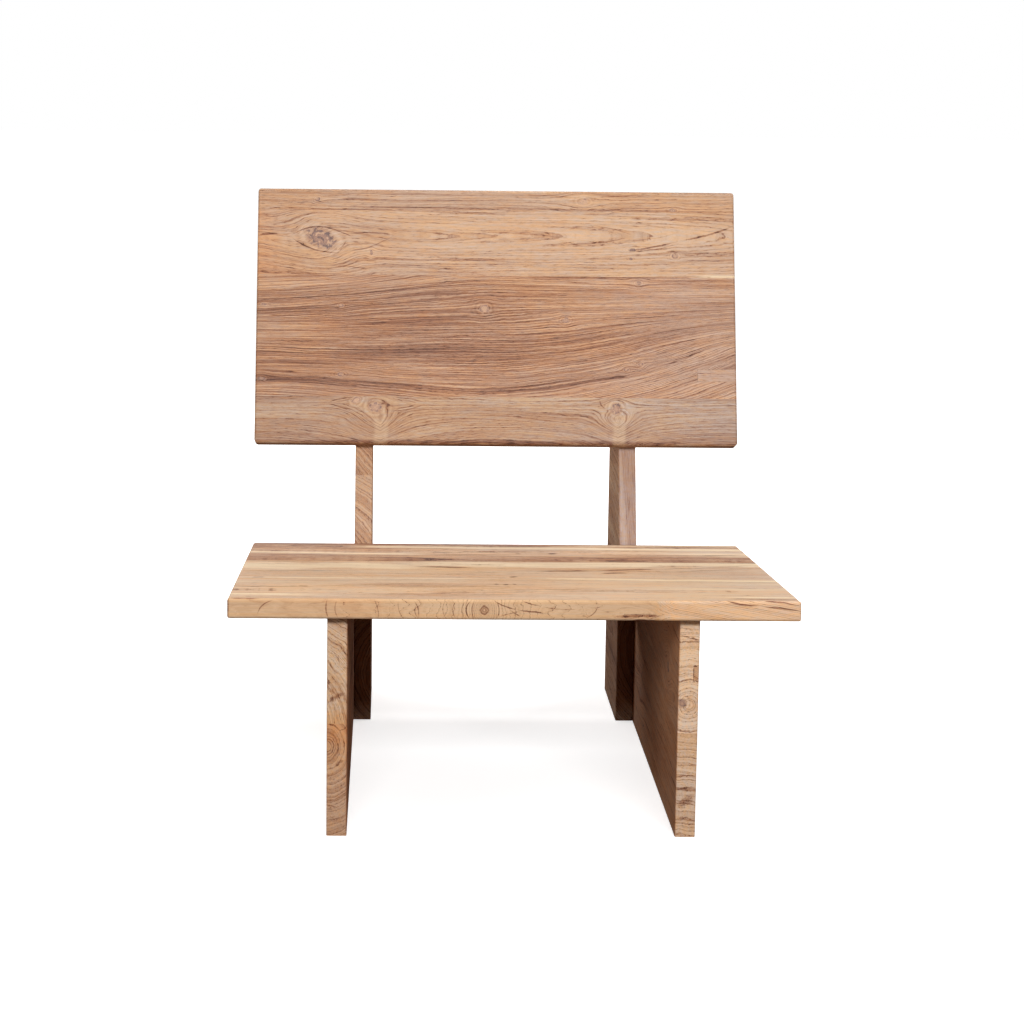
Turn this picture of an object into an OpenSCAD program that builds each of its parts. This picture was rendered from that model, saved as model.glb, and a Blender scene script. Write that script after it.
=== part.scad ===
// Low lounge chair of solid teak planks.
// A wide seat and a wide back are glued up from boards. They rest on two plank sides
// and two wedge-shaped rear supports. +Z is up, the sitter faces -Y, and X = 0 is the
// plane of symmetry. The origin is on the floor, at the centre of the footprint.

/* [Overall] */
// Width of the seat and of the back
chair_w = 700; // [560:5:840]
// Outer width over the two sides
sides_w = 458; // [380:2:520]
// Thickness of the planks
plank_t = 25; // [22:0.5:30]

/* [Seat] */
// Depth of the seat along its slope
seat_d = 560; // [500:5:600]
// Height of the seat's front top edge
seat_front_z = 304; // [270:1:380]
// Slope of the seat, falling to the rear, in degrees
seat_slope = 4.3; // [2:0.1:8]
// Rounding of the long edges and the end edges
edge_r = 3.5; // [1.5:0.5:6]
// Rounding of the rear corners in plan
rear_corner_r = 9; // [4:1:20]
// Rounding of the front corners in plan
front_corner_r = 3; // [2:1:12]

/* [Back] */
// Height of the back along its own slope
back_h = 378; // [300:2:440]
// Lean of the back from vertical, in degrees
back_lean = 17.5; // [12:0.5:22]
// Open height between the seat's rear edge and the back's lower front edge
back_gap = 143; // [100:1:180]
// Rounding of the corners as seen from the front
back_corner_r = 6; // [3:1:15]

/* [Sides] */
// Setback of the sides from the seat's front edge
side_setback = 18; // [10:1:60]
// Height of the joint between the two boards of the left side
left_joint_z = 143; // [100:1:150]
// Height of the joint between the two boards of the right side
right_joint_z = 133; // [100:1:150]
// Width of the chamfer on the exposed upright edges
arris = 1.2; // [0.5:0.1:2.5]

/* [Rear supports] */
// Distance from the back's top rear edge down to the supports' tops
support_drop = 42; // [20:1:80]
// Width of the supports at their tops
support_top_w = 43.5; // [25:0.5:70]
// Clearance between the seat's rear edge and the supports
support_clear = 0.4; // [0.3:0.1:1]

/* [Hidden framing] */
// Height of the cleats under the seat
cleat_h = 20; // [16:1:24]
// Width of all the cleats
cleat_w = 22; // [18:1:28]
// Distance from the seat's front edge to the seat cleats, along the slope
cleat_start = 132; // [100:2:200]
// Height of the cross rail under the seat's rear edge
rail_h = 70; // [50:1:76]
// Distance from the back's top edge down to the tops of its cleats
back_cleat_drop = 94; // [84:1:150]
// Clearance between the rail and the seat cleats
rail_clear = 0.5; // [0.3:0.1:1]

/* [Fasteners] */
// Diameter of the screw shanks
screw_d = 4.5; // [3.5:0.5:5]
// Diameter of the screw heads
screw_head_d = 8.4; // [7:0.2:9]
// Height of the screw heads
screw_head_h = 2.6; // [2:0.2:3.5]
// Length of the screw shanks
screw_l = 32; // [28:1:34]
// Sinking of the heads below the surface of a cleat
screw_sink = 2; // [1:0.5:3]
// Diameter of the dowels
dowel_d = 10; // [6:1:12]
// Length of the dowels
dowel_l = 36; // [24:2:38]
// Clearance all round a screw or a dowel in its bore
bore_clear = 0.3; // [0.2:0.05:0.5]

/* [Let-in patches] */
// Width of the patch at the right end of the back
back_patch_w = 57; // [30:1:80]
// Height of the patch in the back
back_patch_h = 18; // [10:1:28]
// Depth of the patches
patch_depth = 5; // [3:0.5:8]
// Width of the patch on the front edge of the right side
side_patch_w = 6; // [4:0.5:10]
// Height of the patch on the front edge of the right side
side_patch_h = 17; // [10:1:28]
// Joint all round a patch
patch_joint = 0.2; // [0.1:0.05:0.4]

/* [Hidden] */
over = 1;
cutter_w = 10;
seat_joints = [0, 0.33, 0.64, 0.795, 0.92, 1];
back_joints = [0, 0.183, 0.659, 0.915, 1];
left_support_joints = [0, 0.265, 0.498, 0.75, 1];
right_support_joints = [0, 0.33, 0.58, 0.79, 1];
seat_screw_at = [0.1, 0.5, 0.9];
support_screw_at = [0.24, 0.76];
back_screw_at = [0.1, 0.5, 0.9];
dowel_at = [0.26, 0.74];
screw_stagger = 16;
screw_tip_d = 0.6;
drive_w = 1;
drive_depth = 1.4;
back_cleat_start = 14;
support_screw_rise = [0.76, 0.93];
back_patch_at = 0.25;
side_patch_at = 0.72;

side_x = sides_w / 2;
inner_x = side_x - plank_t;
post_x = inner_x - plank_t;
s_sin = sin(seat_slope);
s_cos = cos(seat_slope);
b_tan = tan(back_lean);
seat_rear_z = seat_front_z - seat_d * s_sin;
back_z = seat_rear_z + back_gap;
support_h = back_z + back_h * cos(back_lean) - plank_t * sin(back_lean) - support_drop;
support_run = (support_h - seat_rear_z) * b_tan;

// The seat's lower front edge is the foremost line of the chair.
seat_lip = (plank_t - edge_r) * s_sin + edge_r * (1 - s_cos);
chair_d = seat_lip + seat_d * s_cos + support_clear + support_run + support_top_w;
half_d = chair_d / 2;
seat_y = -half_d + seat_lip;
seat_rear_y = seat_y + seat_d * s_cos;
support_y = seat_rear_y + support_clear;
back_y = support_y - plank_t / cos(back_lean) + back_gap * b_tan;
side_y = seat_y + side_setback;
rail_y = support_y - support_clear - plank_t;
cleat_end = (rail_y - rail_clear - seat_y + plank_t * s_sin) / s_cos;
cleat_l = cleat_end - cleat_start;
back_cleat_l = back_h - back_cleat_drop - back_cleat_start;
head_seat = screw_sink + screw_head_h;

// Height of the seat's underside at a given Y.
function under_z(y) = seat_front_z - plank_t / s_cos - (y - seat_y) * tan(seat_slope);

// Square with its low corner at the origin and four round corners.
module round_rect(w, h, r) {
    translate([r, 0]) square([w - 2 * r, h]);
    translate([0, r]) square([w, h - 2 * r]);
    for (x = [r, w - r], y = [r, h - r]) translate([x, y]) circle(r = r, $fn = 48);
}

// Plan outline with its own radius at each end.
module plan_outline(w, l, r0, r1) {
    translate([-w / 2, r0]) square([w, l - r0 - r1]);
    translate([-w / 2 + r0, 0]) square([w - 2 * r0, r0 + over]);
    translate([-w / 2 + r1, l - r1 - over]) square([w - 2 * r1, r1 + over]);
    for (s = [-1, 1]) {
        translate([s * (w / 2 - r0), r0]) circle(r = r0, $fn = 48);
        translate([s * (w / 2 - r1), l - r1]) circle(r = r1, $fn = 48);
    }
}

// Plank w wide in X, l long in Y and t thick in Z, with all its edges rounded.
module plank(w, l, t, r0, r1) {
    intersection() {
        translate([-w / 2 - over, 0, 0]) rotate([90, 0, 90])
            linear_extrude(w + 2 * over) round_rect(l, t, edge_r);
        translate([-w / 2, l + over, 0]) rotate([90, 0, 0])
            linear_extrude(l + 2 * over) round_rect(w, t, edge_r);
        translate([0, 0, -over]) linear_extrude(t + 2 * over) plan_outline(w, l, r0, r1);
    }
}

// Part of a plank between two fractions of its length, as one of its boards.
module plank_board(w, l, t, r0, r1, f0, f1) {
    intersection() {
        plank(w, l, t, r0, r1);
        translate([-w / 2 - over, f0 == 0 ? -over : f0 * l, -over])
            cube([w + 2 * over, (f1 - f0) * l + (f0 == 0 ? over : 0) + (f1 == 1 ? over : 0),
                t + 2 * over]);
    }
}

// Moves its children into the seat's frame: Y along the slope, Z = 0 on the top.
module in_seat() {
    translate([0, seat_y, seat_front_z]) rotate([-seat_slope, 0, 0]) children();
}

// Moves its children into the back's frame: Z up the slope, Y = 0 on the front.
module in_back() {
    translate([0, back_y, back_z]) rotate([-back_lean, 0, 0]) children();
}

// Screw along +Z, with the seat of its head at Z = 0 and the head below it.
module screw() {
    cylinder(d = screw_d, h = screw_l - screw_d, $fn = 24);
    translate([0, 0, screw_l - screw_d])
        cylinder(d1 = screw_d, d2 = screw_tip_d, h = screw_d, $fn = 24);
    difference() {
        translate([0, 0, -screw_head_h]) cylinder(d = screw_head_d, h = screw_head_h, $fn = 32);
        for (a = [0, 90]) rotate([0, 0, a])
            translate([-screw_d / 2, -drive_w / 2, -screw_head_h - over])
                cube([screw_d, drive_w, over + drive_depth]);
    }
}

// Bore for a screw, open below its head.
module screw_bore() {
    translate([0, 0, -over])
        cylinder(d = screw_d + 2 * bore_clear, h = screw_l + bore_clear + over, $fn = 24);
    translate([0, 0, -cleat_w]) cylinder(d = screw_head_d + 2 * bore_clear, h = cleat_w, $fn = 32);
}

// Places of the screws through a seat cleat: into the seat, and out into the side.
module at_seat_screws(up) {
    for (f = seat_screw_at)
        if (up) translate([inner_x - cleat_w / 2, cleat_start + f * cleat_l + screw_stagger / 2,
            -plank_t - cleat_h + head_seat]) children();
        else translate([inner_x - cleat_w + head_seat,
            cleat_start + f * cleat_l - screw_stagger / 2, -plank_t - cleat_h / 2])
            rotate([0, 90, 0]) children();
}

// Places of the screws through a back cleat: forward into the back, and out into the support.
module at_back_screws(forward) {
    for (f = back_screw_at)
        if (forward) translate([post_x - cleat_w / 2, plank_t + cleat_w - head_seat,
            back_cleat_start + f * back_cleat_l + screw_stagger / 2]) rotate([90, 0, 0]) children();
        else translate([post_x - cleat_w + head_seat, plank_t + cleat_w / 2,
            back_cleat_start + f * back_cleat_l - screw_stagger / 2])
            rotate([0, 90, 0]) children();
}

// Places of the screws from the inside of a rear support out into the side.
module at_support_screws() {
    for (f = support_screw_at, k = support_screw_rise)
        translate([inner_x - cleat_w + head_seat, support_y + f * (half_d - support_y),
            k * under_z(half_d)]) rotate([0, 90, 0]) children();
}

// Places of the dowels across the joint of the rail and a side.
module at_dowels(l, d) {
    for (f = dowel_at)
        translate([inner_x - l / 2, rail_y + plank_t / 2, under_z(rail_y + plank_t) - rail_h * f])
            rotate([0, 90, 0]) cylinder(d = d, h = l, $fn = 32);
}

// Profile of a side: level foot, and a top that follows the seat.
module side_profile() {
    polygon([[side_y, 0], [half_d, 0], [half_d, under_z(half_d)], [side_y, under_z(side_y)]]);
}

// Profile of a rear support: upright to the seat, then leaning with the back.
module support_profile() {
    polygon([[support_y, 0], [half_d, 0], [half_d, support_h],
        [support_y + support_run, support_h], [support_y, seat_rear_z]]);
}

// Chamfer cutter along an upright edge at the origin, whose outward diagonal is at angle a.
module arris_cut(h, a) {
    rotate([0, 0, a]) translate([-arris / sqrt(2), -cutter_w / 2, 0]) cube([cutter_w, cutter_w, h]);
}

// Outward diagonal of the edge on one face (sx) and one end (sy) of a plank on edge.
function diagonal(sx, sy) = sy * (sx > 0 ? 45 : 135);

// Right-hand side between two heights, drawn at +X.
module side_board(z0, z1) {
    difference() {
        intersection() {
            translate([inner_x, 0, 0]) rotate([90, 0, 90]) linear_extrude(plank_t) side_profile();
            translate([inner_x - over, -half_d - over, z0])
                cube([plank_t + 2 * over, chair_d + 2 * over, z1 - z0]);
        }
        for (sx = [-1, 1], sy = [-1, 1])
            translate([sx < 0 ? inner_x : side_x, sy < 0 ? side_y : half_d, z0 - over])
                arris_cut(z1 - z0 + 2 * over, diagonal(sx, sy));
        in_seat() at_seat_screws(false) screw_bore();
        at_support_screws() screw_bore();
        at_dowels(dowel_l + 2 * bore_clear, dowel_d + 2 * bore_clear);
    }
}

// Right-hand rear support between two fractions of its height, drawn at +X.
module support_board(f0, f1) {
    difference() {
        intersection() {
            translate([post_x, 0, 0]) rotate([90, 0, 90]) linear_extrude(plank_t) support_profile();
            translate([post_x - over, 0, f0 * support_h])
                cube([plank_t + 2 * over, chair_d, (f1 - f0) * support_h]);
        }
        for (sx = [-1, 1]) translate([sx < 0 ? post_x : inner_x, 0, 0]) {
            translate([0, half_d, -over]) arris_cut(support_h + 2 * over, diagonal(sx, 1));
            translate([0, support_y, -over])
                arris_cut(seat_rear_z + 2 * over, diagonal(sx, -1));
            translate([0, support_y, seat_rear_z]) rotate([-back_lean, 0, 0])
                translate([0, 0, -over]) arris_cut(support_h, diagonal(sx, -1));
        }
        at_support_screws() screw_bore();
        in_back() at_back_screws(false) screw_bore();
    }
}

// One of the seat's boards, counted from the front.
module seat_board(i) {
    color([0.80, 0.64, 0.47]) difference() {
        in_seat() translate([0, 0, -plank_t])
            plank_board(chair_w, seat_d, plank_t, front_corner_r, rear_corner_r,
                seat_joints[i], seat_joints[i + 1]);
        for (s = [0, 1]) mirror([s, 0, 0]) in_seat() at_seat_screws(true) screw_bore();
    }
}

// Outline of the pocket or of the patch at the right end of the back.
module back_patch_block(joint) {
    translate([chair_w / 2 - back_patch_w - joint, -over, back_h * back_patch_at - joint])
        cube([back_patch_w + joint + over, patch_depth + over, back_patch_h + 2 * joint]);
}

// Outline of the pocket or of the patch on the front edge of the right side.
module side_patch_block(joint) {
    translate([side_x - side_patch_w - joint, side_y - over,
        under_z(side_y) * side_patch_at - joint])
        cube([side_patch_w + joint + over, patch_depth + over, side_patch_h + 2 * joint]);
}

// Whole back in its own frame.
module back_plank(f0, f1) {
    translate([0, plank_t, 0]) rotate([90, 0, 0])
        plank_board(chair_w, back_h, plank_t, back_corner_r, back_corner_r, f0, f1);
}

// One of the back's boards, counted from the bottom.
module back_board(i) {
    color([0.76, 0.56, 0.40]) in_back() difference() {
        back_plank(back_joints[i], back_joints[i + 1]);
        if (i == 1) back_patch_block(patch_joint);
        for (s = [0, 1]) mirror([s, 0, 0]) at_back_screws(true) screw_bore();
    }
}

module seat_board_1() { seat_board(0); }
module seat_board_2() { seat_board(1); }
module seat_board_3() { seat_board(2); }
module seat_board_4() { seat_board(3); }
module seat_board_5() { seat_board(4); }
module back_board_1() { back_board(0); }
module back_board_2() { back_board(1); }
module back_board_3() { back_board(2); }
module back_board_4() { back_board(3); }

// Patch let into the back, flush with its front and its right end.
module back_patch() {
    color([0.80, 0.62, 0.50]) in_back() intersection() {
        back_plank(0, 1);
        back_patch_block(0);
    }
}

module left_side_lower() {
    color([0.70, 0.50, 0.36]) mirror([1, 0, 0]) side_board(0, left_joint_z);
}
module left_side_upper() {
    color([0.72, 0.52, 0.38]) mirror([1, 0, 0]) side_board(left_joint_z, seat_front_z);
}
module right_side_lower() {
    color([0.70, 0.50, 0.36]) side_board(0, right_joint_z);
}
module right_side_upper() {
    color([0.72, 0.52, 0.38]) difference() {
        side_board(right_joint_z, seat_front_z);
        side_patch_block(patch_joint);
    }
}

// Patch let into the front edge of the right side, at its outer arris.
module side_patch() {
    color([0.74, 0.55, 0.40]) difference() {
        intersection() {
            side_patch_block(0);
            translate([inner_x, side_y, 0]) cube([plank_t, patch_depth + over, seat_front_z]);
        }
        translate([side_x, side_y, 0]) arris_cut(seat_front_z, diagonal(1, -1));
    }
}

module left_support(i) {
    color([0.70, 0.49, 0.35]) mirror([1, 0, 0])
        support_board(left_support_joints[i], left_support_joints[i + 1]);
}
module right_support(i) {
    color([0.69, 0.50, 0.38]) support_board(right_support_joints[i], right_support_joints[i + 1]);
}
module left_support_1() { left_support(0); }
module left_support_2() { left_support(1); }
module left_support_3() { left_support(2); }
module left_support_4() { left_support(3); }
module right_support_1() { right_support(0); }
module right_support_2() { right_support(1); }
module right_support_3() { right_support(2); }
module right_support_4() { right_support(3); }

// Cross rail between the sides, under the seat's rear edge.
module rear_rail() {
    y1 = rail_y + plank_t;
    color([0.62, 0.44, 0.31]) difference() {
        translate([-inner_x, 0, 0]) rotate([90, 0, 90]) linear_extrude(2 * inner_x)
            polygon([[rail_y, under_z(y1) - rail_h], [y1, under_z(y1) - rail_h], [y1, under_z(y1)],
                [rail_y, under_z(rail_y)]]);
        for (s = [0, 1]) mirror([s, 0, 0])
            at_dowels(dowel_l + 2 * bore_clear, dowel_d + 2 * bore_clear);
    }
}

// Cleat in the corner of the seat and the right side.
module seat_cleat() {
    color([0.64, 0.46, 0.33]) in_seat() difference() {
        translate([inner_x - cleat_w, cleat_start, -plank_t - cleat_h])
            cube([cleat_w, cleat_l, cleat_h]);
        at_seat_screws(true) screw_bore();
        at_seat_screws(false) screw_bore();
    }
}
module left_seat_cleat() { mirror([1, 0, 0]) seat_cleat(); }
module right_seat_cleat() { seat_cleat(); }

// Cleat in the corner of the back and the right rear support.
module back_cleat() {
    color([0.64, 0.46, 0.33]) in_back() difference() {
        translate([post_x - cleat_w, plank_t, back_cleat_start])
            cube([cleat_w, cleat_w, back_cleat_l]);
        at_back_screws(true) screw_bore();
        at_back_screws(false) screw_bore();
    }
}
module left_back_cleat() { mirror([1, 0, 0]) back_cleat(); }
module right_back_cleat() { back_cleat(); }

module seat_cleat_screws() {
    color([0.72, 0.70, 0.64]) for (s = [0, 1]) mirror([s, 0, 0]) in_seat() {
        at_seat_screws(true) screw();
        at_seat_screws(false) screw();
    }
}
module back_cleat_screws() {
    color([0.72, 0.70, 0.64]) for (s = [0, 1]) mirror([s, 0, 0]) in_back() {
        at_back_screws(true) screw();
        at_back_screws(false) screw();
    }
}
module support_screws() {
    color([0.72, 0.70, 0.64]) for (s = [0, 1]) mirror([s, 0, 0]) at_support_screws() screw();
}
module rail_dowels() {
    color([0.80, 0.68, 0.50]) for (s = [0, 1]) mirror([s, 0, 0]) at_dowels(dowel_l, dowel_d);
}

seat_board_1();
seat_board_2();
seat_board_3();
seat_board_4();
seat_board_5();
back_board_1();
back_board_2();
back_board_3();
back_board_4();
back_patch();
left_side_lower();
left_side_upper();
right_side_lower();
right_side_upper();
side_patch();
left_support_1();
left_support_2();
left_support_3();
left_support_4();
right_support_1();
right_support_2();
right_support_3();
right_support_4();
rear_rail();
left_seat_cleat();
right_seat_cleat();
left_back_cleat();
right_back_cleat();
seat_cleat_screws();
back_cleat_screws();
support_screws();
rail_dowels();
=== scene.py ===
import math

import bpy
from mathutils import Matrix, Vector

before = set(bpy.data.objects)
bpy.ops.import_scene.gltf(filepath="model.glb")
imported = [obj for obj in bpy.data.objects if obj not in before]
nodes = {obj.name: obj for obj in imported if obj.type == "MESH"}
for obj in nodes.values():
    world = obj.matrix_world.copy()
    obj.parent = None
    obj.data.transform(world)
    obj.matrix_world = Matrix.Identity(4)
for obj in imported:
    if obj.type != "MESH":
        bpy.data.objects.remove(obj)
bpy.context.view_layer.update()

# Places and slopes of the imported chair's planks, in millimetres and radians
PLANK = 25.0
SEAT_AT, SEAT_SLOPE = (0.0, -371.922, 304.0), math.radians(4.3)
BACK_AT, BACK_LEAN = (0.0, 205.81, 405.01), math.radians(17.5)
SIDE_Y = -353.92
INNER_X = 204.0
POST_X = 179.0

# Directions in the chair's frame
ALONG_X, ALONG_Y, ALONG_Z = (1, 0, 0), (0, 1, 0), (0, 0, 1)
ORIGIN = (0, 0, 0)
MM_PER_M = 1000

# Camera at the photograph's place, in metres, radians and, for its lens, millimetres
CAMERA_AT = (-0.15304, -3.26409, 0.94793)
YAW, PITCH, ROLL = 0.02479, 0.14103, 0.01138
LENS, SENSOR = 85.443, 36.0
LENS_SHIFT = (0.06, -0.10)
CLIP_START, CLIP_END = 0.05, 100


def add_camera():
    level = math.cos(PITCH)
    ahead = Vector((math.sin(YAW) * level, math.cos(YAW) * level, -math.sin(PITCH)))
    side = ahead.cross(Vector(ALONG_Z)).normalized()
    up = side.cross(ahead)
    right = side * math.cos(ROLL) + up * math.sin(ROLL)
    top = up * math.cos(ROLL) - side * math.sin(ROLL)
    data = bpy.data.cameras.new("camera")
    data.lens, data.sensor_width = LENS, SENSOR
    data.shift_x, data.shift_y = LENS_SHIFT
    data.clip_start, data.clip_end = CLIP_START, CLIP_END
    camera = bpy.data.objects.new("camera", data)
    bpy.context.collection.objects.link(camera)
    turn = Matrix((right, top, -ahead)).transposed().to_4x4()
    camera.matrix_world = Matrix.Translation(CAMERA_AT) @ turn
    bpy.context.scene.camera = camera


# Material that is being made, and its nodes
material = tree = None


def start(name):
    """Begins a material, to whose tree the functions below add their nodes."""
    global material, tree
    material = bpy.data.materials.new(name)
    material.use_nodes = True
    tree = material.node_tree


def give(*names):
    """Gives the material that was begun last to nodes of the frame."""
    for name in names:
        materials = nodes[name].data.materials
        materials.clear()
        materials.append(material)


class Value:
    """An output socket of the current tree, which takes part in arithmetic."""

    def __init__(self, socket):
        self.socket = socket

    def __add__(self, other):
        return calc("ADD", self, other)

    def __sub__(self, other):
        return calc("SUBTRACT", self, other)

    def __rsub__(self, other):
        return calc("SUBTRACT", other, self)

    def __mul__(self, other):
        return calc("MULTIPLY", self, other)


def put(value, socket):
    """Links a Value to an input socket, or sets a constant on it."""
    if isinstance(value, Value):
        tree.links.new(value.socket, socket)
    else:
        socket.default_value = value


def calc(kind, *values):
    node = tree.nodes.new("ShaderNodeMath")
    node.operation = kind
    for value, socket in zip(values, node.inputs):
        put(value, socket)
    return Value(node.outputs[0])


def exp(a):
    return calc("EXPONENT", a)


def root(a):
    return calc("SQRT", a)


def high(a, b):
    return calc("MAXIMUM", a, b)


def size(a):
    return calc("ABSOLUTE", a)


def power(a, b):
    return calc("POWER", a, b)


def most(values):
    """The highest of several values."""
    found = values[0]
    for value in values[1:]:
        found = high(found, value)
    return found


def step(a, x0, x1, y0=0.0, y1=1.0):
    """Smooth step of a from y0 at x0 to y1 at x1."""
    node = tree.nodes.new("ShaderNodeMapRange")
    node.interpolation_type = "SMOOTHSTEP"
    ends = (a, "Value"), (x0, "From Min"), (x1, "From Max"), (y0, "To Min"), (y1, "To Max")
    for value, name in ends:
        put(value, node.inputs[name])
    return Value(node.outputs[0])


def vec(x, y, z):
    node = tree.nodes.new("ShaderNodeCombineXYZ")
    for value, socket in zip((x, y, z), node.inputs):
        put(value, socket)
    return Value(node.outputs[0])


def dot(vector, *weights):
    """Weighted sum of the parts of a vector."""
    node = tree.nodes.new("ShaderNodeVectorMath")
    node.operation = "DOT_PRODUCT"
    put(vector, node.inputs[0])
    node.inputs[1].default_value = weights
    return Value(node.outputs["Value"])


# Stretch of Blender's noise of 0 to 1, which keeps near its middle
NOISE_SPREAD = 3.2


def noise(x, y, z, detail=2.0, rough=0.5):
    """Noise of about -1 to 1 at a place given by three values."""
    node = tree.nodes.new("ShaderNodeTexNoise")
    node.noise_dimensions = "3D"
    put(vec(x, y, z), node.inputs["Vector"])
    for name, value in (("Scale", 1.0), ("Detail", detail), ("Roughness", rough)):
        node.inputs[name].default_value = value
    return Value(node.outputs["Fac"]) * NOISE_SPREAD - NOISE_SPREAD / 2


def drawn(at, along, across, seed=0.0, detail=2.0, rough=0.5):
    """Noise at (u, v, w) drawn out along u. along and across are its turns per millimetre."""
    u, v, w = at
    return noise(u * along, v * across, w * across + seed, detail, rough)


def ringwise(s, u, along, across, seed, detail=2.0, rough=0.5):
    """Noise that follows the growth rings, whose places are s, and is drawn out along u."""
    return noise(s * across, u * along, seed, detail, rough)


def blend(amount, a, b, kind="MIX"):
    """Colour mix of a and b."""
    node = tree.nodes.new("ShaderNodeMix")
    node.data_type, node.blend_type, node.clamp_factor = "RGBA", kind, True
    put(amount, node.inputs[0])
    for value, socket in ((a, node.inputs[6]), (b, node.inputs[7])):
        put(value if isinstance(value, Value) else (*value, 1.0), socket)
    return Value(node.outputs[2])


def tinted(amount, colour, tint):
    return blend(amount, colour, tint, "MULTIPLY")


def ramp(a, stops):
    node = tree.nodes.new("ShaderNodeValToRGB")
    put(a, node.inputs[0])
    marks = node.color_ramp.elements
    while len(marks) < len(stops):
        marks.new(0.5)
    for mark, (at, colour) in zip(marks, stops):
        mark.position, mark.color = at, (*colour, 1)
    return Value(node.outputs[0])


# Coordinates (u, v, w) in millimetres: along the grain, across it in the visible face, and into the wood


def place(origin, *axes):
    """Coordinates from origin along the given axes, in the chair's own frame."""
    coord = tree.nodes.new("ShaderNodeTexCoord")
    shift = tree.nodes.new("ShaderNodeVectorMath")
    shift.operation = "MULTIPLY_ADD"
    tree.links.new(coord.outputs["Object"], shift.inputs[0])
    shift.inputs[1].default_value = (MM_PER_M, MM_PER_M, MM_PER_M)
    shift.inputs[2].default_value = [-x for x in origin]
    return [dot(Value(shift.outputs[0]), *axis) for axis in axes]


def along_back():
    sine, cosine = math.sin(BACK_LEAN), math.cos(BACK_LEAN)
    return place(BACK_AT, ALONG_X, (0, sine, cosine), (0, cosine, -sine))


def up_back():
    across, up, deep = along_back()
    return up, across, deep


def along_seat():
    sine, cosine = math.sin(SEAT_SLOPE), math.cos(SEAT_SLOPE)
    return place(SEAT_AT, ALONG_X, (0, cosine, -sine), (0, -sine, -cosine))


def along_side():
    return place(ORIGIN, ALONG_Y, ALONG_Z, ALONG_X)


def along_rail():
    return place(ORIGIN, ALONG_X, ALONG_Z, ALONG_Y)


# Shapes of the grain and its marks, with noises as turns per millimetre along the grain and across it
RING_WAVES = 0.004, 0.014
BAND_WANDER = 0.006, 0.01
STROKE_WIGGLE = 0.05


def rings(u, v, w, pith_v, pith_w, drift=0.0, rise=0.0, wave=3.0, seed=0.0):
    """Distance from the pith, which runs along u, drifts in v and rises in w."""
    wavy = drawn((u, v, w), *RING_WAVES, seed) * wave
    across = v - u * drift + (wavy - pith_v)
    deep = w - u * rise + (wavy * 0.6 - pith_w)
    return root(across * across + deep * deep)


def knot(u, v, at_u, at_v, long, tall, push, reach, tilt=0.0):
    """(v bent round a knot, distance from the knot in its own radii)."""
    x, y = u - at_u, v - at_v
    if tilt:
        cosine, sine = math.cos(tilt), math.sin(tilt)
        x, y = x * cosine + y * sine, y * cosine - x * sine
    x, y = x * (1 / long), y * (1 / tall)
    far = x * x + y * y
    near = exp(far * (-1 / reach ** 2))
    return v - y * near * (tall * push), root(far)


def bent(u, v, spots):
    """v bent round several knots, and each knot's (distance, darkness).

    A spot is its u and v, half length, half height, push, reach, darkness and perhaps tilt.
    """
    found = []
    for at_u, at_v, long, tall, push, reach, dark, *tilt in spots:
        v, far = knot(u, v, at_u, at_v, long, tall, push, reach, *tilt)
        found.append((far, dark))
    return v, found


def stroke(flat, x0, y0, x1, y1, wide, bow=0.0):
    """1 on a line from one point to another, bowed to its left, fading to 0 at its width.

    flat is the vector (x, y, 1).
    """
    length = math.hypot(x1 - x0, y1 - y0)
    cx, cy = (x1 - x0) / length, (y1 - y0) / length
    part = dot(flat, cx / length, cy / length, -(x0 * cx + y0 * cy) / length)
    off = dot(flat, -cy, cx, x0 * cy - y0 * cx)
    if bow:
        off = calc("MULTIPLY_ADD", part, calc("MULTIPLY_ADD", part, 4 * bow, -4 * bow), off)
    ends = step(size(part - 0.5), 0.2, 0.56, 1, 0)
    width = calc("MULTIPLY_ADD", ends, wide * 0.8, wide * 0.2)
    return step(size(off), 0, width, 1, 0) * ends


def dark_strokes(u, v, lines, wiggle=1.0):
    """The darkest of several wavy strokes, each with its darkness as last value."""
    wavy = noise(u * STROKE_WIGGLE, v * STROKE_WIGGLE, wiggle, 3.0) * wiggle
    flat = vec(u, v + wavy, 1)
    return most([stroke(flat, *ends) * dark for *ends, dark in lines])


def band(u, v, at, half, u0, u1, slope=0.0, amount=1.0, fade=40.0):
    """amount on a band from u0 to u1 about v = at + slope * u, with soft uneven edges."""
    along, aside = BAND_WANDER
    wander = noise(u * along, v * aside + at, 0, 2.0) * half * 0.6
    across = step(size(v - u * slope - at + wander), half * 0.45, half, amount, 0)
    return across * step(u, u0 - fade, u0 + fade) * step(u, u1 - fade, u1 + fade, 1, 0)


# Teak colours from pale early wood to the darkest lines
TEAK = ((0.0, (0.71, 0.45, 0.265)), (0.25, (0.60, 0.348, 0.192)), (0.5, (0.415, 0.200, 0.100)),
        (0.75, (0.235, 0.090, 0.042)), (1.0, (0.09, 0.03, 0.015)))
SAPWOOD = ((0.0, (0.93, 0.73, 0.49)), (0.6, (0.66, 0.45, 0.27)))
# Knot colours from its darkest parts to its palest
KNOT = ((0.0, (0.12, 0.075, 0.075)), (0.5, (0.34, 0.185, 0.135)), (1.0, (0.62, 0.38, 0.24)))
# Tints between which the fibres vary, and tint of oranger patches
COOL, WARM = (0.945, 1.022, 1.18), (1.055, 0.978, 0.84)
ORANGE = (1.05, 0.90, 0.74)

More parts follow.
